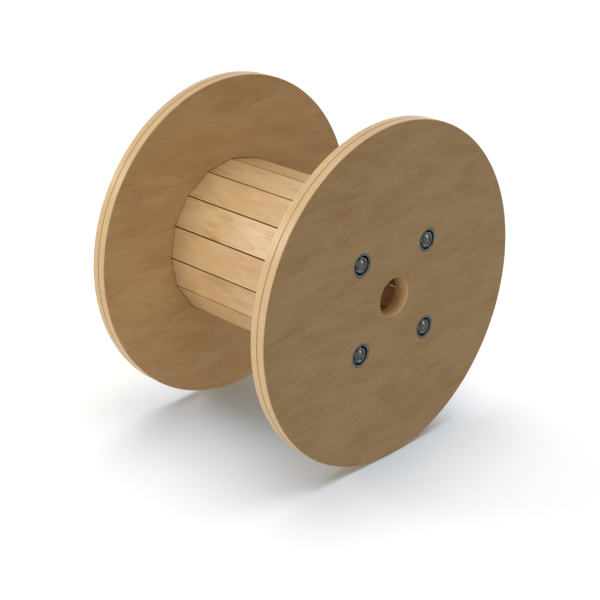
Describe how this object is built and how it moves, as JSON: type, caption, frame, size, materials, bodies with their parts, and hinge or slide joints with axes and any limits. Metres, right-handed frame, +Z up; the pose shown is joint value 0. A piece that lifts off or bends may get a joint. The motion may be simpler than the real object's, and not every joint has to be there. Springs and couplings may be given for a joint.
{
  "type": "empty cable reel",
  "caption": "Wooden cable reel: two round plywood flanges on a drum of flat staves, clamped by tie rods whose nuts sit in steel cups, with a spindle bore through both flanges.",
  "frame": {"origin": "on the floor, below the middle of the reel, which stands on the rims of its flanges", "axes": "+X along the spindle axis, towards the right flange; +Z up; +Y across the reel"},
  "size_m": [0.493, 0.7, 0.7],
  "materials": {
    "plywood": "sanded, bare",
    "stave_wood": "planed, bare",
    "zinc_steel": "dull zinc"
  },
  "bodies": {
    "root": {"cup_washer_left_1": "zinc_steel", "cup_washer_left_2": "zinc_steel", "cup_washer_left_3": "zinc_steel", "cup_washer_left_4": "zinc_steel", "cup_washer_right_1": "zinc_steel", "cup_washer_right_2": "zinc_steel", "cup_washer_right_3": "zinc_steel", "cup_washer_right_4": "zinc_steel", "left_flange_inner_ply": "plywood", "left_flange_outer_ply": "plywood", "nut_left_1": "zinc_steel", "nut_left_2": "zinc_steel", "nut_left_3": "zinc_steel", "nut_left_4": "zinc_steel", "nut_right_1": "zinc_steel", "nut_right_2": "zinc_steel", "nut_right_3": "zinc_steel", "nut_right_4": "zinc_steel", "right_flange_inner_ply": "plywood", "right_flange_outer_ply": "plywood", "stave_01": "stave_wood", "stave_02": "stave_wood", "stave_03": "stave_wood", "stave_04": "stave_wood", "stave_05": "stave_wood", "stave_06": "stave_wood", "stave_07": "stave_wood", "stave_08": "stave_wood", "stave_09": "stave_wood", "stave_10": "stave_wood", "stave_11": "stave_wood", "stave_12": "stave_wood", "stave_13": "stave_wood", "stave_14": "stave_wood", "stave_15": "stave_wood", "stave_16": "stave_wood", "tie_rod_1": "zinc_steel", "tie_rod_2": "zinc_steel", "tie_rod_3": "zinc_steel", "tie_rod_4": "zinc_steel"}
  },
  "joints": []
}
